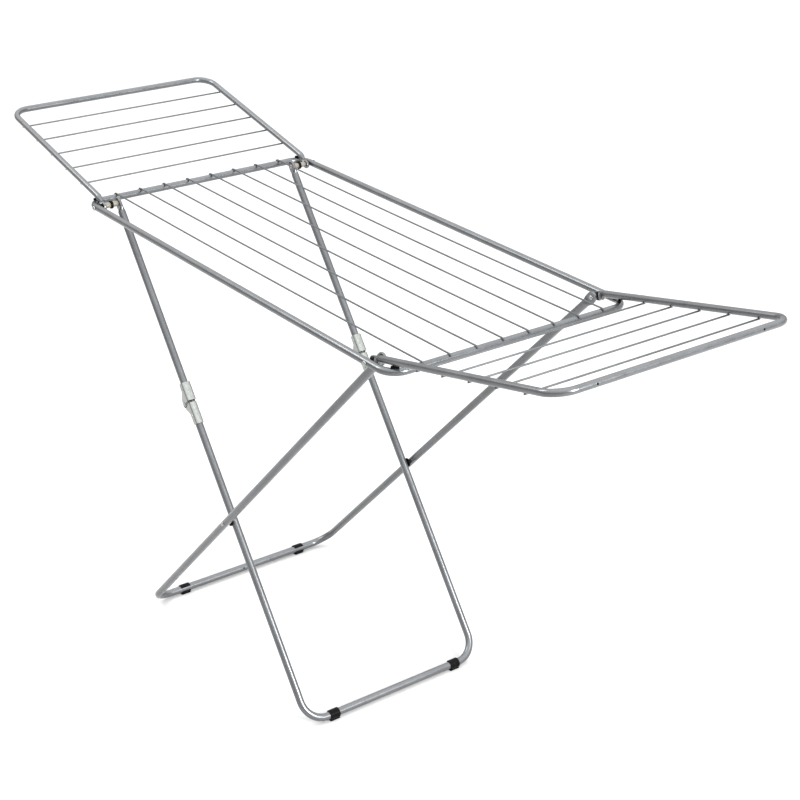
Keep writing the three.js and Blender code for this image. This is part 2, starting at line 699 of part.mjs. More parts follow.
// foot clips: sprung rings open towards the rack's middle, with a flat sole
function footClip(v, openSide, ySide) {
  const inner = rLeg + GAP;
  const outer = inner + FOOT_CLIP_WALL;
  const s = new THREE.Shape();
  const open = rad(42);
  const sole = footZ;
  const flat = 8;
  s.moveTo(flat, -sole);
  s.lineTo(outer * Math.cos(-rad(40)), outer * Math.sin(-rad(40)));
  const n = 10;
  const from = -rad(40);
  for (let k = 0; k <= n; k += 1) {
    const a = from + (2 * Math.PI - rad(100)) * k / n;
    s.lineTo(outer * Math.cos(a), outer * Math.sin(a));
  }
  s.lineTo(-flat, -sole);
  s.closePath();
  const hole = new THREE.Path();
  hole.absarc(0, 0, inner, 0, Math.PI * 2, true);
  s.holes.push(hole);
  const g = new THREE.ExtrudeGeometry(s, {
    depth: FOOT_CLIP_LENGTH, steps: 1, bevelEnabled: false, curveSegments: 10,
  });
  g.translate(0, 0, -FOOT_CLIP_LENGTH / 2);
  // the mouth of the spring ring
  const wedge = new THREE.Shape();
  wedge.moveTo(2, 0);
  wedge.lineTo(30, 30 * Math.tan(open));
  wedge.lineTo(30, -30 * Math.tan(rad(20)));
  wedge.closePath();
  const mouth = new THREE.ExtrudeGeometry(wedge, {
    depth: FOOT_CLIP_LENGTH * 2, steps: 1, bevelEnabled: false,
  });
  mouth.translate(0, 0, -FOOT_CLIP_LENGTH);
  const clip = cut(g, [mouth]);
  clip.rotateX(Math.PI / 2);
  if (openSide < 0) {
    clip.rotateZ(Math.PI);
  }
  clip.translate(v.x, ySide * footClipY, v.y);
  return clip;
}
for (const ySide of [-1, 1]) {
  const end = ySide < 0 ? 'front' : 'back';
  put(`foot_clip_plain_${end}`, footClip(footB, 1, ySide), MAT.black());
  put(`foot_clip_kneed_${end}`, footClip(footA, -1, ySide), MAT.black());
}

// the rack stands over the middle of its own footprint
const reachX = (side) => {
  const f = wingFrame(side);
  return f.at(f.reach, f.rise, 0).x + side * rWing;
};
root.position.x = -(reachX(-1) + reachX(1)) / 2;

export default root;
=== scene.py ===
"""Folding clothes drying rack: detailed pieces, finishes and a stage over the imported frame."""
import json
import math

import bmesh
import bpy
from bpy.props import FloatProperty, FloatVectorProperty, PointerProperty
from mathutils import Matrix, Vector


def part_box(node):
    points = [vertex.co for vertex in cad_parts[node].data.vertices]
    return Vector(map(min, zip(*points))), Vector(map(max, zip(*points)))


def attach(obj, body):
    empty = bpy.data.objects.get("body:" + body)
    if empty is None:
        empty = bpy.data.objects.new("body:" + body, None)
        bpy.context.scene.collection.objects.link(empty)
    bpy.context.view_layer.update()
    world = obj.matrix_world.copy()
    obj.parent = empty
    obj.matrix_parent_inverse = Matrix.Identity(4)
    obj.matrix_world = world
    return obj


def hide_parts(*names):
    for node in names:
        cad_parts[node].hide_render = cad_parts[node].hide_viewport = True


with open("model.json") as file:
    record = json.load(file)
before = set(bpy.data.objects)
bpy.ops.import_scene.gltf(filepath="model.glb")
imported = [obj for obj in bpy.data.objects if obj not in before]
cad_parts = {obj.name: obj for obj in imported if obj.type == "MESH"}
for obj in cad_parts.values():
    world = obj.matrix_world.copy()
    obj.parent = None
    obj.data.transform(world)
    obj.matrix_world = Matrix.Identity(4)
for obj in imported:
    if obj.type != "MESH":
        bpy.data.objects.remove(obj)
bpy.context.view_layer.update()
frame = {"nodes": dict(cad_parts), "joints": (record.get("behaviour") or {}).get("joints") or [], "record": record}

bl_info = {
    "name": "Clothes drying rack",
    "version": (1, 0, 0),
    "blender": (4, 5, 0),
    "location": "3D View > Sidebar > Rack",
    "description": "Builds the visible pieces of a folding wing airer",
    "category": "Add Mesh",
}

MM = 0.001
X, Y, Z = Vector((1, 0, 0)), Vector((0, 1, 0)), Vector((0, 0, 1))
ENDS = (("front", -1), ("back", 1))
SIDES = (("left", -1), ("right", 1))
TUBE_FACES = 28        # faces round a tube
WIRE_FACES = 12
WIRE_DOME = 0.8 * MM   # how far a wire's rounded end stands out
PIN_SHANK = 3 * MM     # radius of the hinge rivets' shanks
KNEE_SPACE = 2 * MM    # tube ends to the knee pin's level
WIRE_SAG_MM = (3.2, 2.1, 4.4, 2.8, 3.9, 2.3, 4.1, 3.0)
BEND_STEPS = 14        # rings in a quarter bend


def linear(colour):
    """Turn a hex colour, as in 0xRRGGBB, to linear red, green and blue."""
    out = []
    for shift in (16, 8, 0):
        c = ((colour >> shift) & 255) / 255
        out.append(c / 12.92 if c <= 0.04045 else ((c + 0.055) / 1.055) ** 2.4)
    return tuple(out)


# ------------------------------------------------------------------ places read from the frame
def middle(node):
    low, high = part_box(node)
    return (low + high) / 2


def joint_place(name):
    return next(Vector(j["pos_m"]) for j in frame["joints"] if j["name"] == name)


HINGE = {"left": joint_place("left_wing_fold"), "right": joint_place("right_wing_fold")}
KNEE = joint_place("knee_fold")
LOOP_LOW, LOOP_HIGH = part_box("main_frame_tube")
SEAM_X = middle("main_frame_joint_plug").x


# ------------------------------------------------------------------ settings
def length(name, description, mm):
    return FloatProperty(name=name, description=description, default=mm * MM, unit="LENGTH")


def colour(name, description, code):
    return FloatVectorProperty(
        name=name, description=description, default=linear(code), subtype="COLOR", min=0, max=1)


class RackSizes(bpy.types.PropertyGroup):
    """Sections and radii of the rack's pieces."""

    frame_tube: length("Frame tube", "Diameter of the main frame tube", 15)
    frame_bend: length("Frame bend", "Corner radius of the main frame at its centre line", 36)
    wing_tube: length("Wing tube", "Diameter of the wing tubes", 14)
    wing_bend: length("Wing bend", "Corner radius of the wings at the centre line", 40)
    leg_tube: length("Leg tube", "Diameter of the leg tubes", 17)
    leg_bend: length("Leg bend", "Corner radius of the legs at the centre line", 50)
    wall: length("Tube wall", "Wall thickness of every tube", 0.8)
    wire: length("Wire", "Diameter of the wires", 3.6)
    paddle_tip: length("Paddle tip", "Hinge pin to the rounded tip of a flattened end", 12)
    paddle_flat: length("Paddle flat", "Tip to where a flattened end starts to turn round", 20)
    paddle_round: length("Paddle round", "Tip to where the tube is round again", 34)
    paddle_thick: length("Paddle thickness", "Thickness of a flattened tube end", 5)
    joggle_start: length("Joggle start", "Hinge pin to the step in a wing's arm", 8)
    joggle_run: length("Joggle run", "Length of the step in a wing's arm", 14)
    joggle_bend: length("Joggle bend", "Bend radius of the step", 16)
    hang_hole: length("Hanging hole", "Diameter of the holes in a wing's outer bar", 4.5)
    hang_hole_y: length("Hanging hole place", "Hanging holes from the middle plane", 190)
    drain_hole: length("Drain hole", "Diameter of the hole in a leg's bottom bar", 4)
    plate: length("Plate", "Sheet thickness of the knee brackets", 1.2)
    knee_offset: length("Knee offset", "Knee pin to the leg's centre line", 11.5)
    knee_cup_upper: length("Upper knee cup", "Length of an upper knee bracket", 44)
    knee_cup_lower: length("Lower knee cup", "Length of a lower knee bracket", 52)
    pad: length("Rest pad", "Thickness of a rest pad", 3.6)
    pad_length: length("Rest pad length", "Length of a rest pad along the frame tube", 16)


class RackFinishes(bpy.types.PropertyGroup):
    """Colours of the rack's materials."""

    paint: colour("Paint", "Silver-grey powder coat on the tubes", 0x636567)
    wire: colour("Wire coat", "Grey coat on the wires", 0x5E6062)
    zinc: colour("Zinc", "Bright zinc plating on rivets and brackets", 0xA4A7A4)
    # the bushes' tone is ivory nylon darkened to a grey-brown: painted shade of their place between the hinge
    # parts
    nylon: colour("Nylon", "Ivory nylon bushes", 0x767164)
    black: colour("Black plastic", "Black moulded clips, pads and spacers", 0x060607)
    floor: colour("Floor", "Pale floor", 0xBABABA)


class RackStage(bpy.types.PropertyGroup):
    """Camera and lights."""

    camera_place: FloatVectorProperty(
        name="Camera place", description="Where the camera stands",
        default=(2.8089, -1.9346, 2.2569), subtype="TRANSLATION", unit="LENGTH")
    azimuth: FloatProperty(
        name="Azimuth", description="Turn of the view about the vertical",
        default=math.radians(53.325), subtype="ANGLE")
    elevation: FloatProperty(
        name="Elevation", description="Angle of the view above the horizon",
        default=math.radians(25.297), subtype="ANGLE")
    roll: FloatProperty(
        name="Roll", description="Turn of the view about its own axis",
        default=math.radians(0.519), subtype="ANGLE")
    lens: FloatProperty(
        name="Lens", description="Focal length on a 36 mm sensor, in millimetres",
        default=78.62)
    key_power: FloatProperty(
        name="Key light", description="Power of the main soft light", default=340, unit="POWER")
    fill_power: FloatProperty(
        name="Fill light", description="Power of the side light", default=60, unit="POWER")
    sky: FloatProperty(
        name="Overhead light", description="Strength of the light from straight above", default=3.0)
    sky_rim: FloatProperty(
        name="Surrounding light at eye level", description="Strength of the light from the sides",
        default=0.25)


def settings():
    scene = bpy.context.scene
    return scene.rack_sizes, scene.rack_finishes, scene.rack_stage


# ------------------------------------------------------------------ materials
def add(material, kind, links=None, **values):
    """Add a node of that kind: values that name a socket fill it, others set the node.

    links gives sockets of other nodes to join to this node's inputs.
    """
    tree = material.node_tree
    made = tree.nodes.new(kind)
    for name, value in values.items():
        setattr(made, name, value)
    for name, value in (links or {}).items():
        if isinstance(value, bpy.types.NodeSocket):
            tree.links.new(value, made.inputs[name])
        else:
            made.inputs[name].default_value = value
    return made


def new_material(name):
    material = bpy.data.materials.new(name)
    material.use_nodes = True
    material.node_tree.nodes.clear()
    return material


def shade(material, **inputs):
    """Add the surface shader and the output."""
    shader = add(material, "ShaderNodeBsdfPrincipled",
                 {name.replace("_", " "): value for name, value in inputs.items()})
    add(material, "ShaderNodeOutputMaterial", {"Surface": shader.outputs["BSDF"]})
    return material


def grain(material, size_mm, detail=2.0, stretch=(1, 1, 1)):
    """Noise on Object coordinates whose grains are about size_mm across."""
    place = add(material, "ShaderNodeTexCoord")
    turned_place = add(material, "ShaderNodeMapping",
                       {"Vector": place.outputs["Object"], "Scale": stretch})
    return add(material, "ShaderNodeTexNoise", {
        "Vector": turned_place.outputs["Vector"], "Scale": 1 / (size_mm * MM), "Detail": detail,
        "Roughness": 0.55})


def spread(material, source, low, high, from_low=0.3, from_high=0.7):
    """Turn a pattern's values to the range low to high."""
    return add(material, "ShaderNodeMapRange", {
        "Value": source, "From Min": from_low, "From Max": from_high,
        "To Min": low, "To Max": high}).outputs["Result"]


def blend_colours(material, factor, first, second):
    made = add(material, "ShaderNodeMix", data_type="RGBA")
    tree = material.node_tree
    tree.links.new(factor, made.inputs["Factor"])
    made.inputs[6].default_value = (*first, 1)
    made.inputs[7].default_value = (*second, 1)
    return made.outputs[2]


def darker(tone, share):
    return tuple(c * share for c in tone)


def powder_coat(name, tone, peel_mm, peel_depth_mm, sheen=(0.24, 0.34), clear=0.3):
    """Aluminium-pigmented powder coat, baked on steel: fine flake, orange peel, soft gloss."""
    m = new_material(name)
    flake = grain(m, 1.6, 1.0).outputs["Fac"]
    cloud = grain(m, 70, 3.0).outputs["Fac"]
    both = add(m, "ShaderNodeMath", {0: flake, 1: cloud}, operation="MULTIPLY").outputs[0]
    tint = blend_colours(m, spread(m, both, 0, 1, 0.12, 0.4), darker(tone, 0.82),
                         tuple(min(1, c * 1.12) for c in tone))
    # the coat rubs duller in patches where the rack is handled
    dull = spread(m, grain(m, 24, 4.0).outputs["Fac"], *sheen)
    peel = add(m, "ShaderNodeBump", {
        "Height": grain(m, peel_mm, 1.0).outputs["Fac"], "Strength": 0.5,
        "Distance": peel_depth_mm * MM})
    return shade(m, Base_Color=tint, Metallic=0.75, Roughness=dull,
                 Normal=peel.outputs["Normal"], Coat_Weight=clear, Coat_Roughness=0.12)


def zinc_plate(tone):
    """Pressed steel, bright zinc plated: clear highlights broken by press marks and handling."""
    m = new_material("bright_zinc_plated_steel")
    bloom = grain(m, 6, 4.0).outputs["Fac"]
    tint = blend_colours(m, spread(m, bloom, 0, 1), darker(tone, 0.8), tone)
    streak = grain(m, 1.2, 2.0, (1, 0.12, 1)).outputs["Fac"]
    rough = spread(m, streak, 0.16, 0.26)
    marks = add(m, "ShaderNodeBump", {
        "Height": streak, "Strength": 0.2, "Distance": 0.02 * MM})
    return shade(m, Base_Color=tint, Metallic=1.0, Roughness=rough, Normal=marks.outputs["Normal"])


def moulded_nylon(tone):
    """Natural nylon 6, injection moulded: waxy, faintly see-through, a little yellowed; its tone is darkened by
    painted shade.
    """
    m = new_material("moulded_ivory_nylon_painted_shade")
    # the tone is darker than ivory nylon: painted shade of the bushes' place in the hinge stack
    tint = blend_colours(m, spread(m, grain(m, 5, 3.0).outputs["Fac"], 0, 1),
                         darker(tone, 0.86), tone)
    fine = add(m, "ShaderNodeBump", {
        "Height": grain(m, 0.9, 1.0).outputs["Fac"], "Strength": 0.3, "Distance": 0.06 * MM})
    return shade(m, Base_Color=tint, Roughness=0.48, IOR=1.53, Subsurface_Weight=0.15,
                 Subsurface_Scale=1.5 * MM, Normal=fine.outputs["Normal"])


def moulded_black(tone):
    """Black polypropylene, moulded with a fine spark texture that greys where it rubs."""
    m = new_material("moulded_black_polypropylene")
    rub = grain(m, 7, 4.0).outputs["Fac"]
    tint = blend_colours(m, spread(m, rub, 0, 1, 0.5, 0.75), tone,
                         tuple(c + 0.004 for c in tone))
    # the spark texture is really 0.2 mm; it is drawn at 0.8 mm to show
    spark = add(m, "ShaderNodeBump", {
        "Height": grain(m, 0.8, 2.0).outputs["Fac"], "Strength": 0.4, "Distance": 0.06 * MM})
    return shade(m, Base_Color=tint, Roughness=spread(m, rub, 0.26, 0.42), IOR=1.49,
                 Specular_IOR_Level=0.06,
                 Normal=spark.outputs["Normal"])


def finishes():
    """The rack's materials by record slot, made once."""
    _, tones, _ = settings()
    if "powder_coated_steel_tube" not in bpy.data.materials:
        # real orange peel is about 2 mm; on the tubes it is drawn at 4 mm to show
        powder_coat("powder_coated_steel_tube", tuple(tones.paint), 4, 0.10)
        powder_coat("powder_coated_steel_wire", tuple(tones.wire), 2.5, 0.02, (0.50, 0.60), 0.0)
        zinc_plate(tuple(tones.zinc))
        moulded_nylon(tuple(tones.nylon))
        moulded_black(tuple(tones.black))
    look = bpy.data.materials
    return {
        "silver_grey_paint": look["powder_coated_steel_tube"],
        "grey_wire": look["powder_coated_steel_wire"],
        "bright_zinc": look["bright_zinc_plated_steel"],
        "ivory_nylon": look["moulded_ivory_nylon_painted_shade"],
        "black_plastic": look["moulded_black_polypropylene"],
    }


# ------------------------------------------------------------------ mesh helpers
def finish_piece(bm, name, node, slot, sharp=35, round_off=None):
    """Turn a bmesh to a piece that stands for a CAD node and rides on its body."""
    bmesh.ops.remove_doubles(bm, verts=bm.verts, dist=1e-6)
    bmesh.ops.recalc_face_normals(bm, faces=bm.faces)
    for face in bm.faces:
        face.smooth = True
    for edge in bm.edges:
        if len(edge.link_faces) == 2 and edge.calc_face_angle() > math.radians(sharp):
            edge.smooth = False
    mesh = bpy.data.meshes.new(name)
    bm.to_mesh(mesh)
    bm.free()
    piece = bpy.data.objects.new(name, mesh)
    bpy.context.scene.collection.objects.link(piece)
    mesh.materials.append(finishes()[slot])
    if round_off:
        edge_round = piece.modifiers.new("rounded edges", "BEVEL")
        edge_round.width = round_off
        edge_round.segments = 2
        edge_round.limit_method = "ANGLE"
        edge_round.angle_limit = math.radians(40)
        edge_round.harden_normals = True
    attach(piece, body_of(node))
    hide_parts(node)
    return piece


def body_of(node):
    return next(b for b, nodes in frame["record"]["behaviour"]["bodies"].items() if node in nodes)


class Sweep:
    """A tube drawn forward and bent ring by ring, as on a tube bender."""

    def __init__(self, start, heading, radius, faces):
        self.bm = bmesh.new()
        self.radius = radius
        self.at = start.copy()
        self.heading = heading.normalized()
        self.gone = 0.0
        turn = self.heading.to_track_quat("Z", "Y").to_matrix().to_4x4()
        made = bmesh.ops.create_circle(
            self.bm, segments=faces, radius=radius, matrix=Matrix.Translation(start) @ turn)
        self.verts = made["verts"]
        self.edges = list({e for v in self.verts for e in v.link_edges})
        self.first = (self.at.copy(), -self.heading, self.verts, self.edges)
        self.rings = []
        self.keep()

    def keep(self):
        self.rings.append((self.gone, self.at.copy(), self.heading.copy(), self.verts))

    def take(self, geometry):
        self.verts = [g for g in geometry if isinstance(g, bmesh.types.BMVert)]
        self.edges = [g for g in geometry if isinstance(g, bmesh.types.BMEdge)]

    def run(self, distance):
        """Draw the tube straight on."""
        made = bmesh.ops.extrude_edge_only(self.bm, edges=self.edges)
        self.take(made["geom"])
        bmesh.ops.translate(self.bm, vec=self.heading * distance, verts=self.verts)
        self.at += self.heading * distance
        self.gone += distance
        self.keep()

    def bend(self, axis, angle, radius):
        """Bend the tube about an axis square to it."""
        centre = self.at + axis.cross(self.heading) * radius
        steps = max(3, round(BEND_STEPS * angle / (math.pi / 2)))
        made = bmesh.ops.spin(
            self.bm, geom=self.verts + self.edges, cent=centre, axis=axis, angle=angle,
            steps=steps, use_duplicate=False)
        self.take(made["geom_last"])
        turn = Matrix.Rotation(angle, 3, axis)
        self.at = centre + turn @ (self.at - centre)
        self.heading = turn @ self.heading
        self.gone += radius * angle
        self.keep()

    def last(self):
        return (self.at.copy(), self.heading, self.verts, self.edges)

    def close_open(self, end, wall, depth):
        """Turn an end's rim inwards by the wall's thickness, so that the tube shows open."""
        place, heading, _, edges = end
        made = bmesh.ops.extrude_edge_only(self.bm, edges=edges)
        self.take(made["geom"])
        share = (self.radius - wall) / self.radius
        bmesh.ops.scale(self.bm, vec=(share, share, share), verts=self.verts,
                        space=Matrix.Translation(-place))
        made = bmesh.ops.extrude_edge_only(self.bm, edges=self.edges)
        self.take(made["geom"])
        bmesh.ops.translate(self.bm, vec=-heading * depth, verts=self.verts)
        bmesh.ops.contextual_create(self.bm, geom=self.edges)

    def close_round(self, end, bulge):
        """Close an end with a small dome."""
        place, heading, _, edges = end
        for grow, share in ((0.6, 0.8), (0.4, 0.45)):
            made = bmesh.ops.extrude_edge_only(self.bm, edges=edges)
            self.take(made["geom"])
            edges = self.edges
            bmesh.ops.translate(self.bm, vec=heading * bulge * grow, verts=self.verts)
            bmesh.ops.scale(self.bm, vec=(share, share, share), verts=self.verts,
                            space=Matrix.Translation(-(place + heading * bulge)))
        bmesh.ops.contextual_create(self.bm, geom=edges)


def bent_tube(corners, bends, radius, faces=TUBE_FACES, stations=(), end_stations=(), parts=1):
    """Sweep a tube through corners; stations are distances from an end where rings are put.

    Every run between two bends is drawn in that many equal parts.
    """
    runs = [(b - a) for a, b in zip(corners, corners[1:])]
    turns = [a.angle(b) for a, b in zip(runs, runs[1:])]
    trims = [0.0] + [r * math.tan(t / 2) for r, t in zip(bends, turns)] + [0.0]
    sweep = Sweep(corners[0], runs[0], radius, faces)
    for i, way in enumerate(runs):
        total = way.length - trims[i] - trims[i + 1]
        stops = [total]
        if i == 0:
            stops += [s for s in stations if s < total - 1e-4]
        if i == len(runs) - 1:
            stops += [total - s for s in end_stations if s < total - 1e-4]
        if 0 < i < len(runs) - 1:
            stops += [total * k / parts for k in range(1, parts)]
        done = 0.0
        for stop in sorted(stops):
            sweep.run(stop - done)
            done = stop
        if i < len(bends):
            axis = way.cross(runs[i + 1]).normalized()
            sweep.bend(axis, turns[i], bends[i])
    return sweep


PADDLE_STATIONS = [s * MM for s in (0.5, 1.6, 3.4, 5.6, 8, 11, 15, 20, 23, 26, 29, 32, 34)]


def press_paddle(sweep, from_start):
    """Press an end of a tube flat across Y, with a round tip, and close it."""
    sizes, _, _ = settings()
    half = sizes.paddle_thick / 2
    wide = sweep.radius * 1.4
    total = sweep.gone
    for gone, place, heading, verts in sweep.rings:
        back = gone if from_start else total - gone
        if back > sizes.paddle_round:
            continue
        f = (sizes.paddle_round - back) / (sizes.paddle_round - sizes.paddle_flat)
        f = min(1, f)
        f = f * f * (3 - 2 * f)
        tip = math.sqrt(max(0.02, 1 - (1 - min(1, back / wide)) ** 2))
        across = heading.cross(Y).normalized()
        for v in verts:
            arm = v.co - place
            y, w = arm.dot(Y), arm.dot(across)
            pressed = max(-half, min(half, y * 1.5 * half / (0.62 * sweep.radius)))
            v.co += Y * (pressed - y) * f + across * (w * wide / sweep.radius * tip - w) * f
    end = sweep.first if from_start else sweep.last()
    bmesh.ops.contextual_create(sweep.bm, geom=end[3])


def turned(bm, profile, centre, ysign=1, steps=32):
    """Spin a profile of (radius, y) points, in metres, about the Y axis through centre."""
    verts = [bm.verts.new((centre.x + r, y * ysign, centre.z)) for r, y in profile]
    edges = [bm.edges.new(pair) for pair in zip(verts, verts[1:])]
    bmesh.ops.spin(bm, geom=verts + edges, cent=(centre.x, 0, centre.z), axis=Y,
                   angle=2 * math.pi, steps=steps, use_merge=True, use_duplicate=False)
    bmesh.ops.remove_doubles(bm, verts=bm.verts, dist=1e-6)


def washer(name, node, slot, bore, centre, ysign, soft):
    """A ring between the y limits and radius of its CAD node, with softened rims."""
    low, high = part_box(node)
    y0, y1 = sorted((abs(low.y), abs(high.y)))
    radius = (high.x - low.x) / 2
    bm = bmesh.new()
    turned(bm, [
        (bore, y0), (radius - soft, y0), (radius - soft * 0.3, y0 + soft * 0.3),
        (radius, y0 + soft), (radius, y1 - soft), (radius - soft * 0.3, y1 - soft * 0.3),
        (radius - soft, y1), (bore, y1), (bore, y0),
    ], centre, ysign)
    return finish_piece(bm, name, node, slot, sharp=50)


def dot(bm, place, across, tall, up=Z):
    """A flattened bead of weld metal."""
    turn = up.to_track_quat("Z", "Y").to_matrix().to_4x4()
    size = Matrix.Diagonal((across / 2, across / 2, tall / 2, 1))
    bmesh.ops.create_uvsphere(bm, u_segments=10, v_segments=6, radius=1,
                              matrix=Matrix.Translation(place) @ turn @ size)


def drill(piece, start, end, radius):
    """Drill a blind hole in a piece and keep the drilled mesh."""
    bm = bmesh.new()
    way = end - start
    turn = way.to_track_quat("Z", "Y").to_matrix().to_4x4()
    bmesh.ops.create_cone(bm, cap_ends=True, segments=20, radius1=radius, radius2=radius,
                          depth=way.length, matrix=Matrix.Translation((start + end) / 2) @ turn)
    mesh = bpy.data.meshes.new("drill")
    bm.to_mesh(mesh)
    bm.free()
    bit = bpy.data.objects.new("drill", mesh)
    bpy.context.scene.collection.objects.link(bit)
    cut = piece.modifiers.new("hole", "BOOLEAN")
    cut.operation = "DIFFERENCE"
    cut.object = bit
    cut.solver = "EXACT"
    bpy.context.view_layer.update()
    drilled = bpy.data.meshes.new_from_object(
        piece.evaluated_get(bpy.context.evaluated_depsgraph_get()))
    if len(drilled.polygons) <= len(piece.data.polygons):
        raise RuntimeError(f"the hole in {piece.name} was not cut")
    old, name = piece.data, piece.data.name
    piece.modifiers.remove(cut)
    piece.data = drilled
    bpy.data.meshes.remove(old)
    drilled.name = name
    bpy.data.objects.remove(bit)
    bpy.data.meshes.remove(mesh)


# ------------------------------------------------------------------ pieces
class RackOperator(bpy.types.Operator):
    bl_options = {"REGISTER", "UNDO"}


class RACK_OT_frame_loop(RackOperator):
    """Add the main frame: one bent tube whose ends meet over a plug in the back rail"""

    bl_idname = "rack.frame_loop"
    bl_label = "Main frame loop"

    def execute(self, context):
        sizes, _, _ = settings()
        r = sizes.frame_tube / 2
        x0, x1 = LOOP_LOW.x + r, LOOP_HIGH.x - r
        y1 = LOOP_HIGH.y - r
        z = (LOOP_LOW.z + LOOP_HIGH.z) / 2
        gap = 0.25 * MM
        corners = [Vector(p) for p in (
            (SEAM_X + gap, y1, z), (x1, y1, z), (x1, -y1, z), (x0, -y1, z), (x0, y1, z),
            (SEAM_X - gap, y1, z))]
        sweep = bent_tube(corners, [sizes.frame_bend] * 4, r)
        first = sweep.first
        sweep.close_open(sweep.last(), sizes.wall, 6 * MM)
        sweep.close_open(first, sizes.wall, 6 * MM)
        finish_piece(sweep.bm, "frame_loop", "main_frame_tube", "silver_grey_paint")
        plug = frame["nodes"]["main_frame_joint_plug"]
        plug.data.materials.clear()
        plug.data.materials.append(finishes()["bright_zinc"])
        return {"FINISHED"}


class RACK_OT_main_wires(RackOperator):
    """Add the lengthwise wires, welded on top of both end bars with their tips bent down"""

    bl_idname = "rack.main_wires"
    bl_label = "Main wires"

    def execute(self, context):
        sizes, _, _ = settings()
        r, tube = sizes.wire / 2, sizes.frame_tube / 2
        x0, x1 = LOOP_LOW.x + tube, LOOP_HIGH.x - tube
        bar_z = (LOOP_LOW.z + LOOP_HIGH.z) / 2
        sink = 0.3 * MM
        orbit = tube + r - sink
        tip = math.radians(34)
        wires = [n for n in frame["nodes"] if n.startswith("main_wire_")]
        # each wire hangs a little by its own weight and old loads
        for node, sag in zip(sorted(wires), WIRE_SAG_MM):
            y = middle(node).y
            corner = orbit * math.tan(tip / 2)
            drop = 2.5 * MM
            down = Vector((math.cos(tip), 0, -math.sin(tip)))
            left = Vector((-down.x, 0, down.z))
            right_corner = Vector((x1 + corner, y, bar_z + orbit))
            left_corner = Vector((x0 - corner, y, bar_z + orbit))
            corners = [left_corner + left * (corner + drop), left_corner, right_corner,
                       right_corner + down * (corner + drop)]
            sweep = bent_tube(corners, [orbit, orbit], r, WIRE_FACES, parts=18)
            first = sweep.first
            sweep.close_round(sweep.last(), WIRE_DOME)
            sweep.close_round(first, WIRE_DOME)
            for v in sweep.bm.verts:
                share = (2 * v.co.x - x0 - x1) / (x1 - x0)
                v.co.z -= sag * MM * max(0, 1 - share * share)
            for x in (x0, x1):
                dot(sweep.bm, Vector((x, y, bar_z + tube)), 5.2 * MM, 1.8 * MM)
            finish_piece(sweep.bm, node + "_coated", node, "grey_wire")
        return {"FINISHED"}


class WingFrame:
    """Directions and places on one wing: along the arm, square to it, and the bars' places."""

    def __init__(self, side, sign):
        self.hinge = HINGE[side].copy()
        self.hinge.y = 0
        first = middle(f"{side}_wing_wire_1")
        last = middle(f"{side}_wing_wire_5")
        self.along = (last - first).normalized()
        self.up = Vector((-self.along.z * sign, 0, self.along.x * sign))
        radius = settings()[0].wing_tube / 2
        wire = settings()[0].wire / 2
        self.arm_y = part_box(f"{side}_wing_tube")[1].y - radius
        self.rise = (first - self.hinge).dot(self.up) + radius + wire + 0.3 * MM
        self.reach = self.far(side, radius)

    def far(self, side, radius):
        """Distance from the hinge to the outer bar's centre line, along the arm."""
        low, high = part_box(f"{side}_wing_tube")
        x = (low.x + radius) if side == "left" else (high.x - radius)
        return ((x - self.hinge.x) - self.up.x * self.rise) / self.along.x

    def at(self, along, up, y):
        return self.hinge + self.along * along + self.up * up + Y * y


class RACK_OT_wings(RackOperator):
    """Add both wings: a bent tube with pressed ends and a step, and wires welded under it"""

    bl_idname = "rack.wings"
    bl_label = "Wings"

    def execute(self, context):
        sizes, _, _ = settings()
        radius, r = sizes.wing_tube / 2, sizes.wire / 2
        for side, sign in SIDES:
            wing = WingFrame(side, sign)
            step = sizes.joggle_start + sizes.joggle_run

            def arm(y):
                return [wing.at(-sizes.paddle_tip, 0, y), wing.at(sizes.joggle_start, 0, y),
                        wing.at(step, wing.rise, y), wing.at(wing.reach, wing.rise, y)]

            corners = arm(-wing.arm_y) + arm(wing.arm_y)[::-1]
            bends = [sizes.joggle_bend] * 2 + [sizes.wing_bend] * 2 + [sizes.joggle_bend] * 2
            sweep = bent_tube(corners, bends, radius, TUBE_FACES,
                              PADDLE_STATIONS, PADDLE_STATIONS)
            press_paddle(sweep, True)
            press_paddle(sweep, False)
            tube = finish_piece(sweep.bm, f"{side}_wing_loop", f"{side}_wing_tube",
                                "silver_grey_paint")
            for y in (-sizes.hang_hole_y, sizes.hang_hole_y):
                drill(tube, wing.at(wing.reach - radius * 0.2, wing.rise, y),
                      wing.at(wing.reach + radius * 2, wing.rise, y), sizes.hang_hole / 2)
            for i in range(1, 6):
                node = f"{side}_wing_wire_{i}"
                place = middle(node) + wing.up * 0.5 * MM
                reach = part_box(node)[1].y - WIRE_DOME
                start, end = place.copy(), place.copy()
                start.y, end.y = -reach, reach
                sweep = bent_tube([start, end], [], r, WIRE_FACES)
                first = sweep.first
                sweep.close_round(sweep.last(), WIRE_DOME)
                sweep.close_round(first, WIRE_DOME)
                for y in (-wing.arm_y, wing.arm_y):
                    bead = place + wing.up * r
                    bead.y = y
                    dot(sweep.bm, bead, 5.0 * MM, 1.8 * MM, wing.up)
                finish_piece(sweep.bm, node + "_coated", node, "grey_wire")
        return {"FINISHED"}


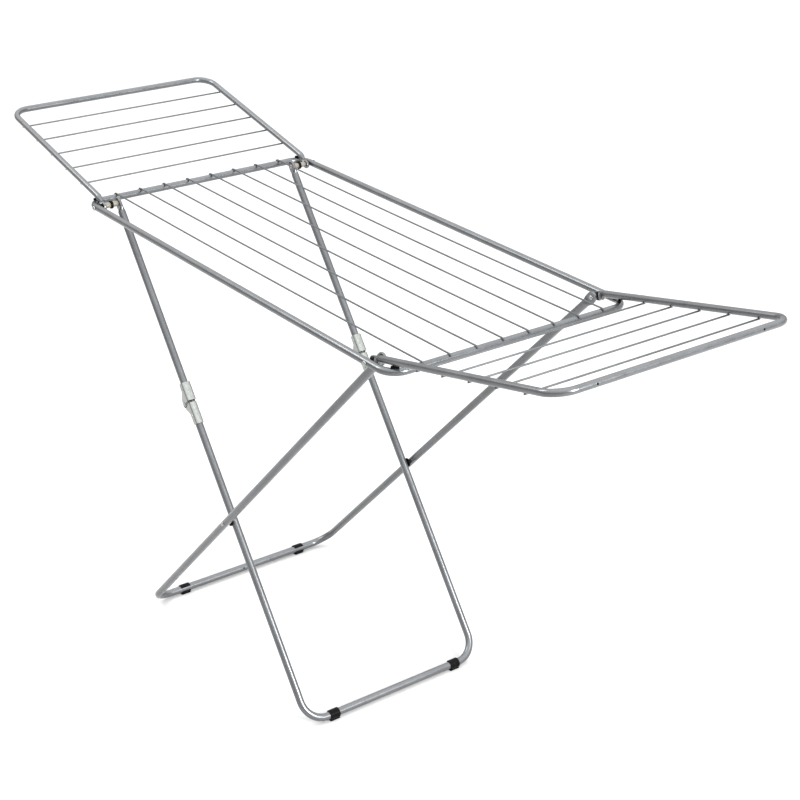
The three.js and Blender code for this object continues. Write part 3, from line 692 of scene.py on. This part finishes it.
class RACK_OT_rest_pads(RackOperator):
    """Add the black saddle pads on the frame's corners, where the open wings rest"""

    bl_idname = "rack.rest_pads"
    bl_label = "Rest pads"

    def execute(self, context):
        sizes, _, _ = settings()
        tube = sizes.frame_tube / 2
        inner, outer = tube + 0.1 * MM, tube + sizes.pad + 0.4 * MM
        half, long = math.radians(20), sizes.pad_length
        centre_z = (LOOP_LOW.z + LOOP_HIGH.z) / 2
        for side, sign in SIDES:
            arm = WingFrame(side, sign).arm_y
            bend_centre = LOOP_HIGH.y - tube - sizes.frame_bend
            turn = math.asin((arm - bend_centre) / sizes.frame_bend)
            for end, ysign in ENDS:
                node = f"rest_pad_{side}_{end}"
                bm = bmesh.new()
                corners = [bm.verts.new(p) for p in (
                    (0, -long / 2, inner), (0, long / 2, inner),
                    (0, long / 2, outer), (0, -long / 2, outer))]
                face = bm.faces.new(corners)
                bmesh.ops.rotate(bm, cent=(0, 0, 0), matrix=Matrix.Rotation(-half, 3, "Y"),
                                 verts=corners)
                bmesh.ops.spin(bm, geom=[face] + face.edges[:] + face.verts[:], cent=(0, 0, 0),
                               axis=Y, angle=2 * half, steps=12, use_duplicate=False)
                place = middle(node)
                place.z = centre_z
                bmesh.ops.transform(
                    bm, verts=bm.verts,
                    matrix=Matrix.Translation(place) @ Matrix.Rotation(sign * ysign * turn, 4, "Z"))
                finish_piece(bm, f"saddle_pad_{side}_{end}", node, "black_plastic",
                             round_off=0.8 * MM)
        return {"FINISHED"}


def rivet_profile(inner, outer, shank, head, hollow):
    """A rivet along y: an upset dome at inner and a pressed head at outer, hollow or domed."""
    profile = [(0, inner - 2.2 * MM), (head * 0.45, inner - 2.1 * MM),
               (head * 0.72, inner - 1.6 * MM), (head * 0.86, inner - 0.8 * MM),
               (head * 0.9, inner), (shank, inner), (shank, outer), (head, outer),
               (head, outer + 0.8 * MM), (head * 0.93, outer + 1.4 * MM),
               (head * 0.78, outer + 1.9 * MM)]
    if hollow:
        return profile + [(head * 0.62, outer + 2.1 * MM), (head * 0.48, outer + 1.8 * MM),
                          (head * 0.40, outer + 1.0 * MM), (head * 0.37, outer - 4 * MM),
                          (0, outer - 4 * MM)]
    return profile + [(head * 0.5, outer + 2.3 * MM), (0, outer + 2.4 * MM)]


class RACK_OT_hinges(RackOperator):
    """Add the rivets, washers, bushes and collars of the four rail hinges"""

    bl_idname = "rack.hinges"
    bl_label = "Hinge hardware"

    def execute(self, context):
        for end, ysign in ENDS:
            for side, _ in SIDES:
                node = f"hinge_pin_{side}_{end}"
                low, high = sorted(abs(corner.y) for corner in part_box(node))
                head = (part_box(node)[1].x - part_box(node)[0].x) / 2
                bm = bmesh.new()
                turned(bm, rivet_profile(low + 2.4 * MM, high - 2.4 * MM, PIN_SHANK, head,
                                         side == "left"), HINGE[side], ysign)
                finish_piece(bm, f"hollow_rivet_{side}_{end}", node, "bright_zinc", sharp=50)
                washer(f"rail_spacer_{side}_{end}", f"rail_washer_{side}_{end}",
                       "black_plastic", PIN_SHANK, HINGE[side], ysign, 0.5 * MM)
            # the nylon bushes' colour is darkened with painted shade of the hinge stack
            washer(f"outer_bush_{end}", f"hinge_bush_outer_{end}", "ivory_nylon", PIN_SHANK,
                   HINGE["left"], ysign, 0.7 * MM)
            washer(f"collar_{end}", f"hinge_collar_{end}", "black_plastic", PIN_SHANK,
                   HINGE["left"], ysign, 0.9 * MM)
            washer(f"inner_bush_{end}", f"hinge_bush_inner_{end}", "ivory_nylon", PIN_SHANK,
                   HINGE["left"], ysign, 0.7 * MM)
            washer(f"leg_spacer_right_{end}", f"hinge_spacer_right_{end}", "black_plastic",
                   PIN_SHANK, HINGE["right"], ysign, 0.7 * MM)
        return {"FINISHED"}


class LegLine:
    """A leg's side view: its hinge, direction, length to the bottom bar and place across."""

    def __init__(self, side, node, foot_low_x):
        radius = settings()[0].leg_tube / 2
        low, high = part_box(node)
        self.hinge = HINGE[side].copy()
        self.hinge.y = 0
        foot_x = low.x + radius if foot_low_x else high.x - radius
        foot = Vector((foot_x, 0, low.z + radius))
        self.y = high.y - radius
        self.dir = (foot - self.hinge).normalized()
        self.length = (foot - self.hinge).length
        self.side = Vector((self.dir.z, 0, -self.dir.x))

    def at(self, distance, y):
        return self.hinge + self.dir * distance + Y * y


def plain_line():
    return LegLine("right", "plain_leg_frame", True)


def kneed_line():
    return LegLine("left", "kneed_leg_lower", False)


class RACK_OT_plain_leg(RackOperator):
    """Add the one-piece leg: a bent tube with pressed ends and a drain hole"""

    bl_idname = "rack.plain_leg"
    bl_label = "Plain leg"

    def execute(self, context):
        sizes, _, _ = settings()
        radius = sizes.leg_tube / 2
        leg = plain_line()
        corners = [leg.at(-sizes.paddle_tip, -leg.y), leg.at(leg.length, -leg.y),
                   leg.at(leg.length, leg.y), leg.at(-sizes.paddle_tip, leg.y)]
        sweep = bent_tube(corners, [sizes.leg_bend] * 2, radius, TUBE_FACES,
                          PADDLE_STATIONS, PADDLE_STATIONS)
        press_paddle(sweep, True)
        press_paddle(sweep, False)
        piece = finish_piece(sweep.bm, "plain_leg_loop", "plain_leg_frame", "silver_grey_paint")
        bar = leg.at(leg.length, 0)
        out = Vector((1, 0, 0.35)).normalized()
        drill(piece, bar + out * radius * 0.1, bar + out * radius * 2, sizes.drain_hole / 2)
        return {"FINISHED"}


class RACK_OT_kneed_leg(RackOperator):
    """Add the kneed leg: two upper links and the lower loop, open where they meet the knee"""

    bl_idname = "rack.kneed_leg"
    bl_label = "Kneed leg"

    def execute(self, context):
        sizes, _, _ = settings()
        radius = sizes.leg_tube / 2
        leg = kneed_line()
        knee = (KNEE - leg.hinge).dot(leg.dir)
        for end, ysign in ENDS:
            corners = [leg.at(-sizes.paddle_tip, ysign * leg.y),
                       leg.at(knee - KNEE_SPACE, ysign * leg.y)]
            sweep = bent_tube(corners, [], radius, TUBE_FACES, PADDLE_STATIONS)
            last = sweep.last()
            press_paddle(sweep, True)
            sweep.close_open(last, sizes.wall, 15 * MM)
            finish_piece(sweep.bm, f"kneed_leg_link_{end}", f"kneed_leg_upper_{end}",
                         "silver_grey_paint")
        corners = [leg.at(knee + KNEE_SPACE, -leg.y), leg.at(leg.length, -leg.y),
                   leg.at(leg.length, leg.y), leg.at(knee + KNEE_SPACE, leg.y)]
        sweep = bent_tube(corners, [sizes.leg_bend] * 2, radius, TUBE_FACES)
        first = sweep.first
        sweep.close_open(sweep.last(), sizes.wall, 15 * MM)
        sweep.close_open(first, sizes.wall, 15 * MM)
        finish_piece(sweep.bm, "kneed_leg_loop", "kneed_leg_lower", "silver_grey_paint")
        return {"FINISHED"}


def knee_channel(upper, leg, knee, ysign):
    """A pressed channel round a tube's end, with two rounded lugs that carry the knee pin.

    Drawn with X along the leg, Y towards the pin's side and Z across the rack.
    """
    sizes, _, _ = settings()
    plate, tube = sizes.plate, sizes.leg_tube / 2
    inner = tube + 0.3 * MM + (plate + 0.3 * MM if upper else 0)
    outer = inner + plate
    back = -(tube + 0.3 * MM + plate)
    way = -1 if upper else 1
    lug = 8 * MM
    bend = 7 * MM
    x0 = way * 2.5 * MM
    x1 = way * (sizes.knee_cup_upper if upper else sizes.knee_cup_lower)
    top = sizes.knee_offset + lug
    bm = bmesh.new()
    outline = [(x1, back + bend), (x0, back + bend), (x0, 0),
               (-way * lug, sizes.knee_offset - 3 * MM), (-way * lug, top), (way * lug, top),
               (way * 25 * MM, 5 * MM), (x1, 4 * MM)]
    verts = [bm.verts.new((x, y, outer)) for x, y in outline]
    bm.faces.new(verts)
    seam = bm.edges.get((verts[0], verts[1]))
    bmesh.ops.spin(bm, geom=[seam, *seam.verts], cent=(0, back + bend, outer - bend), axis=X,
                   angle=math.pi / 2, steps=5, use_duplicate=False)
    lowest = min(v.co.y for v in bm.verts)
    rim = [e for e in bm.edges if all(abs(v.co.y - lowest) < 1e-7 for v in e.verts)]
    if not rim or lowest > back + 1e-5:
        raise RuntimeError("the knee channel's bend went the wrong way")
    made = bmesh.ops.extrude_edge_only(bm, edges=rim)
    for v in (g for g in made["geom"] if isinstance(g, bmesh.types.BMVert)):
        v.co.z = 0
    bmesh.ops.bevel(bm, geom=[verts[4], verts[5], verts[3]], affect="VERTICES",
                    offset=6.5 * MM, offset_type="OFFSET", segments=5, profile=0.5,
                    material=-1)
    bmesh.ops.bevel(bm, geom=[v for v in (verts[6], verts[7], verts[2]) if v.is_valid],
                    affect="VERTICES", offset=2.5 * MM, segments=4, profile=0.5, material=-1)
    bmesh.ops.mirror(bm, geom=bm.verts[:] + bm.edges[:] + bm.faces[:], axis="Z",
                     merge_dist=1e-6)
    bmesh.ops.recalc_face_normals(bm, faces=bm.faces)
    centre_face = max(bm.faces, key=lambda f: f.calc_center_median().z)
    if centre_face.normal.z < 0:
        bmesh.ops.reverse_faces(bm, faces=bm.faces)
    bmesh.ops.solidify(bm, geom=bm.faces[:], thickness=plate)
    for z in (-1, 1):
        head = bmesh.ops.create_uvsphere(
            bm, u_segments=20, v_segments=10, radius=3.4 * MM,
            matrix=Matrix.Translation((way * 30 * MM, -1 * MM, z * outer))
            @ Matrix.Diagonal((1, 1, 0.36, 1)))
        if not head["verts"]:
            raise RuntimeError("the knee channel's rivet heads were not made")
    place = Matrix((leg.dir, leg.side, Y)).transposed().to_4x4()
    place.translation = leg.at(knee, ysign * leg.y)
    bmesh.ops.transform(bm, matrix=place, verts=bm.verts)
    return bm


class RACK_OT_knees(RackOperator):
    """Add the knee hinges: zinc plated channels riveted to the tubes, and their pins"""

    bl_idname = "rack.knees"
    bl_label = "Knee hinges"

    def execute(self, context):
        leg = kneed_line()
        knee = (KNEE - leg.hinge).dot(leg.dir)
        for end, ysign in ENDS:
            for part, upper in (("upper", True), ("lower", False)):
                finish_piece(knee_channel(upper, leg, knee, ysign), f"knee_channel_{part}_{end}",
                             f"knee_bracket_{part}_{end}", "bright_zinc", round_off=0.25 * MM)
            node = f"knee_pin_{end}"
            low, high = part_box(node)
            half = (high.y - low.y) / 2
            shank, head = 2.7 * MM, 4.8 * MM
            bm = bmesh.new()
            flange = half - 1.2 * MM
            turned(bm, [(0, -half), (head * 0.5, -half), (head * 0.82, -half + 0.3 * MM),
                        (head, -half + 0.8 * MM), (head, -flange), (shank, -flange),
                        (shank, flange), (head, flange), (head, half - 0.8 * MM),
                        (head * 0.82, half - 0.3 * MM), (head * 0.5, half), (head * 0.3, half),
                        (head * 0.24, half - 0.9 * MM), (0, half - 1.0 * MM)], Vector())
            bmesh.ops.translate(bm, vec=(low + high) / 2, verts=bm.verts)
            finish_piece(bm, f"knee_rivet_{end}", node, "bright_zinc", sharp=50)
        return {"FINISHED"}


class RACK_OT_crossing(RackOperator):
    """Add the crossing pivots: a domed rivet through the plain leg, a disc on the kneed leg"""

    bl_idname = "rack.crossing"
    bl_label = "Crossing pivots"

    def execute(self, context):
        for end, ysign in ENDS:
            node = f"crossing_rivet_{end}"
            low, high = sorted(abs(corner.y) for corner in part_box(node))
            centre = middle(node)
            face = high - 2 * MM
            bm = bmesh.new()
            turned(bm, [(0, low), (3 * MM, low), (3 * MM, face), (5 * MM, face),
                        (5 * MM, face + 0.7 * MM), (4.4 * MM, face + 1.4 * MM),
                        (3.2 * MM, face + 1.8 * MM), (1.6 * MM, high), (0, high)],
                   centre, ysign)
            finish_piece(bm, f"crossing_stud_{end}", node, "bright_zinc", sharp=50)
            node = f"crossing_disc_{end}"
            low, high = sorted(abs(corner.y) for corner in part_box(node))
            centre = middle(node)
            radius = (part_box(node)[1].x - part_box(node)[0].x) / 2
            soft = 0.6 * MM
            bm = bmesh.new()
            turned(bm, [(0, low), (radius - soft, low), (radius, low + soft),
                        (radius, high - soft), (radius - soft, high), (0, high)],
                   centre, ysign)
            finish_piece(bm, f"crossing_spacer_{end}", node, "black_plastic", sharp=50)
        return {"FINISHED"}


class RACK_OT_foot_clips(RackOperator):
    """Add the four black foot clips: sprung rings with a flat sole, open on one side"""

    bl_idname = "rack.foot_clips"
    bl_label = "Foot clips"

    def execute(self, context):
        sizes, _, _ = settings()
        tube = sizes.leg_tube / 2
        inner, outer, long = tube + 0.15 * MM, tube + 2.6 * MM, 24 * MM
        mouth_low, mouth_high = math.radians(-20), math.radians(42)
        for kind, facing in (("plain", 1), ("kneed", -1)):
            for end, _ in ENDS:
                node = f"foot_clip_{kind}_{end}"
                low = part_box(node)[0]
                bar = (plain_line() if kind == "plain" else kneed_line())
                centre = bar.at(bar.length, middle(node).y)
                bm = bmesh.new()
                corners = [bm.verts.new(p) for p in (
                    (inner, -long / 2, 0), (outer, -long / 2, 0),
                    (outer, long / 2, 0), (inner, long / 2, 0))]
                face = bm.faces.new(corners)
                bmesh.ops.rotate(bm, cent=(0, 0, 0), verts=corners,
                                 matrix=Matrix.Rotation(-mouth_high, 3, "Y"))
                bmesh.ops.spin(bm, geom=[face] + face.edges[:] + face.verts[:], cent=(0, 0, 0),
                               axis=Y, angle=-(2 * math.pi - mouth_high + mouth_low), steps=40,
                               use_duplicate=False)
                sole = bmesh.ops.create_cube(bm, size=1, matrix=Matrix.Translation(
                    (0, 0, (low.z - centre.z) + 1.4 * MM))
                    @ Matrix.Diagonal((16 * MM, long, 2.8 * MM, 1)))
                if not sole["verts"]:
                    raise RuntimeError("the sole was not made")
                if facing < 0:
                    bmesh.ops.rotate(bm, cent=(0, 0, 0), verts=bm.verts,
                                     matrix=Matrix.Rotation(math.pi, 3, "Z"))
                bmesh.ops.translate(bm, vec=centre, verts=bm.verts)
                finish_piece(bm, f"sprung_clip_{kind}_{end}", node, "black_plastic",
                             round_off=0.5 * MM)
        return {"FINISHED"}


# ------------------------------------------------------------------ stage
def soft_light(name, place, target, size, power):
    data = bpy.data.lights.new(name, "AREA")
    data.shape = "DISK"
    data.size = size
    data.energy = power
    lamp = bpy.data.objects.new(name, data)
    lamp.location = place
    lamp.rotation_mode = "QUATERNION"
    lamp.rotation_quaternion = (Vector(target) - Vector(place)).to_track_quat("-Z", "Y")
    bpy.context.scene.collection.objects.link(lamp)


class RACK_OT_stage(RackOperator):
    """Add the pale floor, the soft lights and the camera"""

    bl_idname = "rack.stage"
    bl_label = "Stage"

    def execute(self, context):
        _, tones, stage = settings()
        scene = context.scene
        bm = bmesh.new()
        bmesh.ops.create_grid(bm, x_segments=1, y_segments=1, size=40)
        mesh = bpy.data.meshes.new("floor")
        bm.to_mesh(mesh)
        bm.free()
        floor = bpy.data.objects.new("floor", mesh)
        scene.collection.objects.link(floor)
        paint = new_material("matt_painted_floor")
        tone = tuple(tones.floor)
        tint = blend_colours(paint, spread(paint, grain(paint, 300, 3.0).outputs["Fac"], 0, 1),
                             darker(tone, 0.985), tone)
        shade(paint, Base_Color=tint, Roughness=0.8)
        mesh.materials.append(paint)

        # a wide soft box overhead that fades towards the sides
        world = bpy.data.worlds.new("overhead studio light")
        world.use_nodes = True
        world.node_tree.nodes.clear()
        way = add(world, "ShaderNodeTexCoord").outputs["Generated"]
        height = add(world, "ShaderNodeSeparateXYZ", {"Vector": way}).outputs["Z"]
        sky = add(world, "ShaderNodeBackground", {
            "Color": (1, 1, 1, 1),
            "Strength": spread(world, height, stage.sky_rim, stage.sky, 0, 1)})
        # the view itself shows a plain white backdrop
        backdrop = add(world, "ShaderNodeBackground", {"Color": (1, 1, 1, 1), "Strength": 1.0})
        seen = add(world, "ShaderNodeLightPath").outputs["Is Camera Ray"]
        both = add(world, "ShaderNodeMixShader", {
            0: seen, 1: sky.outputs["Background"], 2: backdrop.outputs["Background"]})
        add(world, "ShaderNodeOutputWorld", {"Surface": both.outputs["Shader"]})
        scene.world = world
        soft_light("key light", (4.4, 0.9, 2.3), (0, 0, 0.6), 1.5, stage.key_power)
        soft_light("side light", (-2.0, -1.8, 3.6), (0, 0, 0.7), 1.6, stage.fill_power)

        data = bpy.data.cameras.new("camera")
        data.sensor_width = 36
        data.lens = stage.lens
        data.clip_start, data.clip_end = 0.05, 200
        camera = bpy.data.objects.new("camera", data)
        a, e = stage.azimuth, stage.elevation
        back = Vector((math.sin(a) * math.cos(e), -math.cos(a) * math.cos(e), math.sin(e)))
        right = Vector((math.cos(a), math.sin(a), 0))
        up = back.cross(right)
        turn = Matrix.Rotation(stage.roll, 3, back)
        place = Matrix((turn @ right, turn @ up, back)).transposed().to_4x4()
        place.translation = Vector(stage.camera_place)
        camera.matrix_world = place
        scene.collection.objects.link(camera)
        scene.camera = camera
        scene.view_settings.view_transform = "Standard"
        return {"FINISHED"}


PIECES = (
    RACK_OT_frame_loop, RACK_OT_main_wires, RACK_OT_wings, RACK_OT_rest_pads, RACK_OT_hinges,
    RACK_OT_plain_leg, RACK_OT_kneed_leg, RACK_OT_knees, RACK_OT_crossing, RACK_OT_foot_clips,
    RACK_OT_stage,
)


class RACK_PT_panel(bpy.types.Panel):
    """Lists the rack's pieces and settings"""

    bl_idname = "RACK_PT_panel"
    bl_label = "Clothes drying rack"
    bl_space_type = "VIEW_3D"
    bl_region_type = "UI"
    bl_category = "Rack"

    def draw(self, context):
        for piece in PIECES:
            self.layout.operator(piece.bl_idname)
        for group in settings():
            box = self.layout.box()
            for name in group.__annotations__:
                box.prop(group, name)


CLASSES = (RackSizes, RackFinishes, RackStage, *PIECES, RACK_PT_panel)


def register():
    for cls in CLASSES:
        bpy.utils.register_class(cls)
    bpy.types.Scene.rack_sizes = PointerProperty(type=RackSizes)
    bpy.types.Scene.rack_finishes = PointerProperty(type=RackFinishes)
    bpy.types.Scene.rack_stage = PointerProperty(type=RackStage)


def unregister():
    del bpy.types.Scene.rack_stage
    del bpy.types.Scene.rack_finishes
    del bpy.types.Scene.rack_sizes
    for cls in reversed(CLASSES):
        bpy.utils.unregister_class(cls)


def main():
    register()
    bpy.ops.rack.frame_loop()
    bpy.ops.rack.main_wires()
    bpy.ops.rack.wings()
    bpy.ops.rack.rest_pads()
    bpy.ops.rack.hinges()
    bpy.ops.rack.plain_leg()
    bpy.ops.rack.kneed_leg()
    bpy.ops.rack.knees()
    bpy.ops.rack.crossing()
    bpy.ops.rack.foot_clips()
    bpy.ops.rack.stage()


if __name__ == "__main__":
    main()
